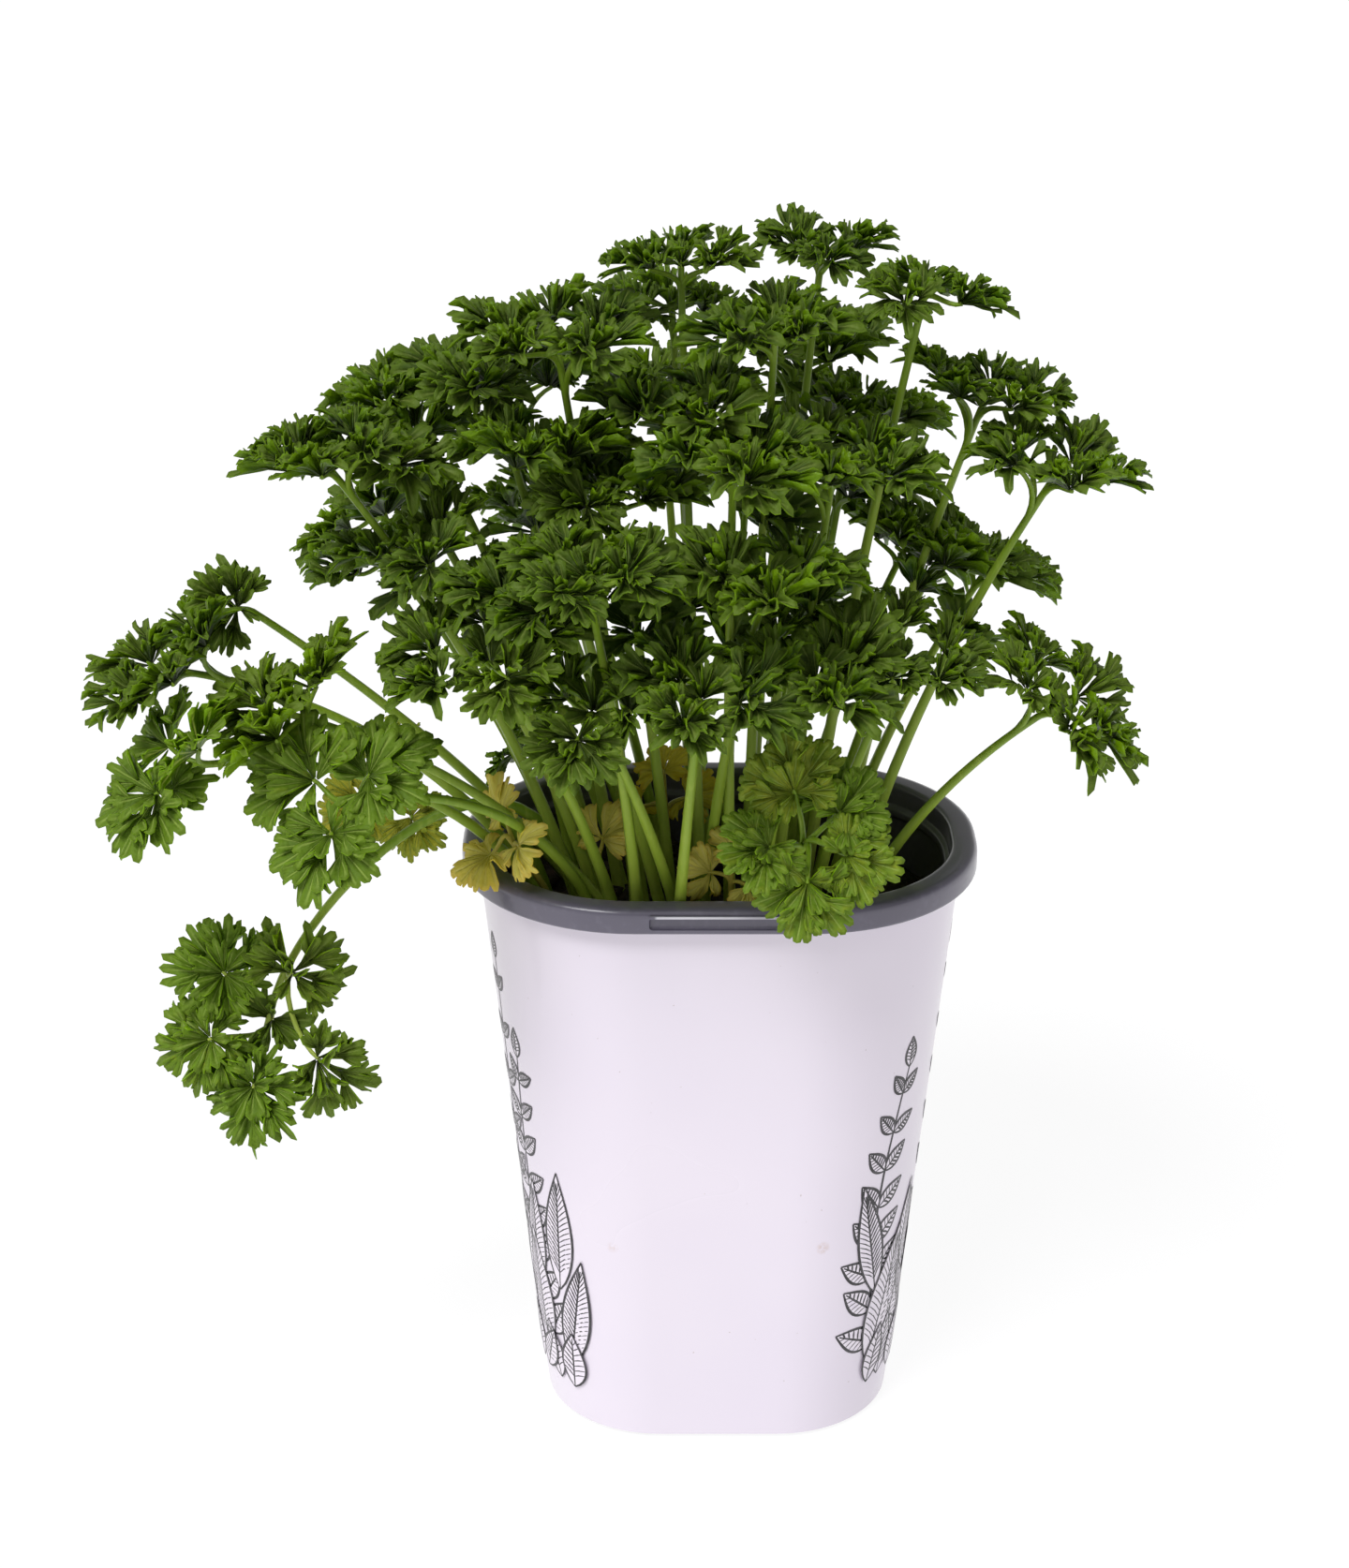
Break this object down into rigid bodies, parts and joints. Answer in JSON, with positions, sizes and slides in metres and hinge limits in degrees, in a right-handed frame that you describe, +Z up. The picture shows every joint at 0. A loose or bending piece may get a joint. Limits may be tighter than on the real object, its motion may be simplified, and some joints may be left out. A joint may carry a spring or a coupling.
{
  "type": "potted curly parsley",
  "caption": "Bushy curly-leaved herb in a tall oval plastic pot with a plain white sleeve, its stems rising from dark peat.",
  "frame": {"origin": "middle of the pot's flat underside", "axes": "+Z up; X along the long side of the oval pot; the front of the plant faces -Y"},
  "size_m": [0.2591, 0.197, 0.3086],
  "materials": {
    "pot_plastic": "satin",
    "sleeve_film": "gloss",
    "peat": "matte",
    "yellow_leaf": "matte",
    "green_leaf": "satin"
  },
  "bodies": {
    "root": {"pot": "pot_plastic", "sleeve": "sleeve_film", "soil": "peat", "old_leaf_rim_left": "yellow_leaf", "old_leaf_front": "yellow_leaf", "old_leaf_inner_left": "yellow_leaf", "old_leaf_middle": "yellow_leaf", "frond_hanging": "green_leaf", "frond_far_left_1": "green_leaf", "frond_far_left_2": "green_leaf", "frond_far_left_3": "green_leaf", "frond_far_left_4": "green_leaf", "frond_far_left_5": "green_leaf", "frond_rim_left": "green_leaf", "frond_low_left": "green_leaf", "frond_over_rim": "green_leaf", "frond_far_right": "green_leaf", "frond_low_front_1": "green_leaf", "frond_low_front_2": "green_leaf", "frond_low_front_3": "green_leaf", "frond_low_front_4": "green_leaf", "frond_centre_1": "green_leaf", "frond_centre_2": "green_leaf", "frond_centre_3": "green_leaf", "frond_centre_4": "green_leaf", "frond_centre_5": "green_leaf", "frond_centre_6": "green_leaf", "frond_left_1": "green_leaf", "frond_left_2": "green_leaf", "frond_left_3": "green_leaf", "frond_left_4": "green_leaf", "frond_left_5": "green_leaf", "frond_left_6": "green_leaf", "frond_left_7": "green_leaf", "frond_right_1": "green_leaf", "frond_right_2": "green_leaf", "frond_right_3": "green_leaf", "frond_right_4": "green_leaf", "frond_right_5": "green_leaf", "frond_right_6": "green_leaf", "frond_upper_left_1": "green_leaf", "frond_upper_left_2": "green_leaf", "frond_upper_left_3": "green_leaf", "frond_top_1": "green_leaf", "frond_top_2": "green_leaf", "frond_top_3": "green_leaf", "frond_top_4": "green_leaf", "frond_top_5": "green_leaf", "frond_top_6": "green_leaf", "frond_back_1": "green_leaf", "frond_back_2": "green_leaf", "frond_back_3": "green_leaf", "frond_back_4": "green_leaf", "frond_back_5": "green_leaf", "frond_back_6": "green_leaf", "frond_back_7": "green_leaf", "frond_back_8": "green_leaf", "frond_back_9": "green_leaf", "frond_back_10": "green_leaf"}
  },
  "joints": []
}
